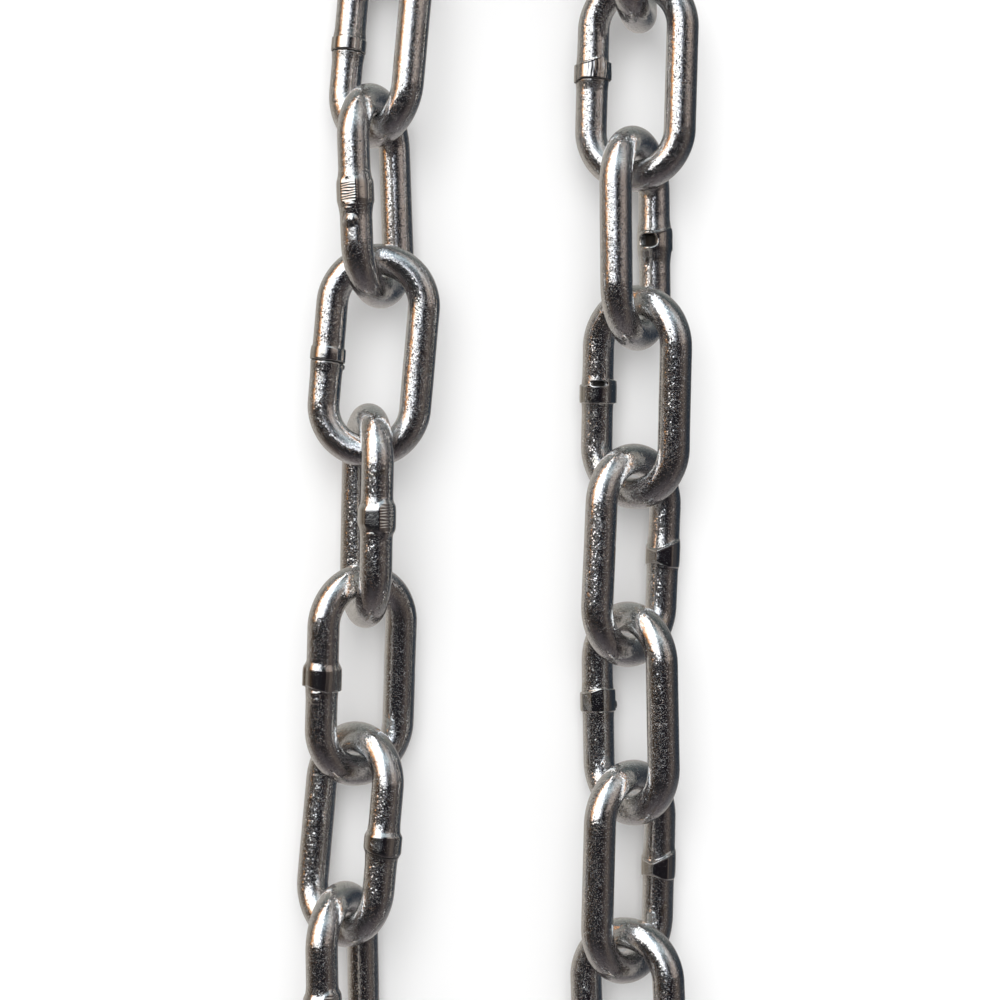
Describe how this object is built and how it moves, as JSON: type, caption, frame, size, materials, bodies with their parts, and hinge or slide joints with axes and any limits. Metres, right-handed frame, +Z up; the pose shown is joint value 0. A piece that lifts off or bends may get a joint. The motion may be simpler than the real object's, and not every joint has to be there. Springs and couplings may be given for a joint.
{
  "type": "load binder chain",
  "caption": "Load binder chain of welded 8 mm round-wire zinc-plated links, doubled in a hairpin, each end in a clevis grab hook with its pin and split cotter.",
  "frame": {"origin": "centre of the lying chain's footprint, on the ground", "axes": "+Y along the two strands towards the bight, +Z up from the ground, +X to the right strand"},
  "size_m": [0.1136, 0.4852, 0.0315],
  "materials": {
    "link_zinc": "bright zinc plate, finely grained",
    "forged_zinc": "zinc plate over a forged skin",
    "pin_steel": "turned and zinc plated",
    "cotter_steel": "drawn wire, zinc plated"
  },
  "bodies": {
    "bight_link": {"bight_link": "link_zinc"},
    "left_link_0": {"left_link_0": "link_zinc"},
    "left_link_1": {"left_link_1": "link_zinc"},
    "left_link_2": {"left_link_2": "link_zinc"},
    "left_link_3": {"left_link_3": "link_zinc"},
    "left_link_4": {"left_link_4": "link_zinc"},
    "left_link_5": {"left_link_5": "link_zinc"},
    "left_link_6": {"left_link_6": "link_zinc"},
    "left_link_7": {"left_link_7": "link_zinc"},
    "left_link_8": {"left_link_8": "link_zinc"},
    "left_link_9": {"left_link_9": "link_zinc"},
    "right_link_0": {"right_link_0": "link_zinc"},
    "right_link_1": {"right_link_1": "link_zinc"},
    "right_link_2": {"right_link_2": "link_zinc"},
    "right_link_3": {"right_link_3": "link_zinc"},
    "right_link_4": {"right_link_4": "link_zinc"},
    "right_link_5": {"right_link_5": "link_zinc"},
    "right_link_6": {"right_link_6": "link_zinc"},
    "right_link_7": {"right_link_7": "link_zinc"},
    "right_link_8": {"right_link_8": "link_zinc"},
    "left_hook": {"left_grab_hook": "forged_zinc"},
    "left_pin": {"left_clevis_pin": "pin_steel", "left_cotter": "cotter_steel"},
    "right_hook": {"right_grab_hook": "forged_zinc"},
    "right_pin": {"right_clevis_pin": "pin_steel", "right_cotter": "cotter_steel"}
  },
  "joints": [
    {"name": "left_link_0_swing", "type": "hinge", "parent": "bight_link", "child": "left_link_0", "pos_m": [-0.00217, 0.22871, 0.01838], "axis": [0.4732, -0.1738, -0.8636], "range_deg": [0, 110]},
    {"name": "left_link_1_swing", "type": "hinge", "parent": "left_link_0", "child": "left_link_1", "pos_m": [-0.02289, 0.19448, 0.01392], "axis": [-0.7185, 0.0406, -0.6943], "range_deg": [-85, 35]},
    {"name": "left_link_2_swing", "type": "hinge", "parent": "left_link_1", "child": "left_link_2", "pos_m": [-0.02706, 0.14678, 0.01545], "axis": [-0.7185, 0.0406, -0.6943], "range_deg": [-40, 25]},
    {"name": "left_link_3_swing", "type": "hinge", "parent": "left_link_2", "child": "left_link_3", "pos_m": [-0.02449, 0.11547, 0.01591], "axis": [-0.9924, 0.0868, -0.0872], "range_deg": [-85, 30]},
    {"name": "left_link_4_swing", "type": "hinge", "parent": "left_link_3", "child": "left_link_4", "pos_m": [-0.02867, 0.06775, 0.01592], "axis": [-0.9924, 0.0868, -0.0872], "range_deg": [-50, 15]},
    {"name": "left_link_5_swing", "type": "hinge", "parent": "left_link_4", "child": "left_link_5", "pos_m": [-0.0289, 0.03642, 0.01596], "axis": [0.7997, 0.0166, -0.6002], "range_deg": [-40, 20]},
    {"name": "left_link_6_swing", "type": "hinge", "parent": "left_link_5", "child": "left_link_6", "pos_m": [-0.03057, -0.01132, 0.01242], "axis": [0.7997, 0.0166, -0.6002], "range_deg": [-85, 85]},
    {"name": "left_link_7_swing", "type": "hinge", "parent": "left_link_6", "child": "left_link_7", "pos_m": [-0.03469, -0.05066, 0.01553], "axis": [-0.7552, 0.0274, -0.6549], "range_deg": [-85, 45]},
    {"name": "left_link_8_swing", "type": "hinge", "parent": "left_link_7", "child": "left_link_8", "pos_m": [-0.03373, -0.08196, 0.01559], "axis": [-0.9613, -0.0038, -0.2756], "range_deg": [-85, 85]},
    {"name": "left_link_9_swing", "type": "hinge", "parent": "left_link_8", "child": "left_link_9", "pos_m": [-0.03373, -0.12985, 0.01625], "axis": [0.9613, 0.0038, 0.2756], "range_deg": [-85, 85]},
    {"name": "right_link_0_swing", "type": "hinge", "parent": "bight_link", "child": "right_link_0", "pos_m": [0.02934, 0.22228, 0.01617], "axis": [-0.2283, -0.049, 0.9724], "range_deg": [0, 110]},
    {"name": "right_link_1_swing", "type": "hinge", "parent": "right_link_0", "child": "right_link_1", "pos_m": [0.03905, 0.18392, 0.01651], "axis": [-0.9391, 0.0352, -0.3419], "range_deg": [-85, 85]},
    {"name": "right_link_2_swing", "type": "hinge", "parent": "right_link_1", "child": "right_link_2", "pos_m": [0.03779, 0.13606, 0.01502], "axis": [0.9391, -0.0352, 0.3419], "range_deg": [-85, 85]},
    {"name": "right_link_3_swing", "type": "hinge", "parent": "right_link_2", "child": "right_link_3", "pos_m": [0.03877, 0.10535, 0.01526], "axis": [0.798, -0.0459, 0.601], "range_deg": [-85, 85]},
    {"name": "right_link_4_swing", "type": "hinge", "parent": "right_link_3", "child": "right_link_4", "pos_m": [0.03793, 0.05752, 0.01272], "axis": [-0.798, 0.0459, -0.601], "range_deg": [-85, 85]},
    {"name": "right_link_5_swing", "type": "hinge", "parent": "right_link_4", "child": "right_link_5", "pos_m": [0.03635, 0.01826, 0.01355], "axis": [0.7301, -0.0439, -0.6819], "range_deg": [-85, 85]},
    {"name": "right_link_6_swing", "type": "hinge", "parent": "right_link_5", "child": "right_link_6", "pos_m": [0.03736, -0.01244, 0.01337], "axis": [-0.6945, 0.0149, 0.7193], "range_deg": [-85, 85]},
    {"name": "right_link_7_swing", "type": "hinge", "parent": "right_link_6", "child": "right_link_7", "pos_m": [0.03575, -0.05175, 0.01263], "axis": [-0.8643, -0.0656, -0.4987], "range_deg": [-85, 85]},
    {"name": "right_link_8_swing", "type": "hinge", "parent": "right_link_7", "child": "right_link_8", "pos_m": [0.03742, -0.0995, 0.01602], "axis": [0.8643, 0.0656, 0.4987], "range_deg": [-85, 65]},
    {"name": "left_hook_swing", "type": "hinge", "parent": "left_link_9", "child": "left_hook", "pos_m": [-0.03444, -0.16045, 0.01624], "axis": [0.9998, -0.0175, 0], "range_deg": [-85, 85]},
    {"name": "left_pin_turn", "type": "hinge", "parent": "left_hook", "child": "left_pin", "pos_m": [-0.03444, -0.16045, 0.01624], "axis": [-0.9998, 0.0175, 0], "continuous": true},
    {"name": "right_hook_swing", "type": "hinge", "parent": "right_link_8", "child": "right_hook", "pos_m": [0.03687, -0.12982, 0.01599], "axis": [1, 0, 0], "range_deg": [-85, 85]},
    {"name": "right_pin_turn", "type": "hinge", "parent": "right_hook", "child": "right_pin", "pos_m": [0.03687, -0.12982, 0.01599], "axis": [-1, 0, 0], "continuous": true}
  ]
}
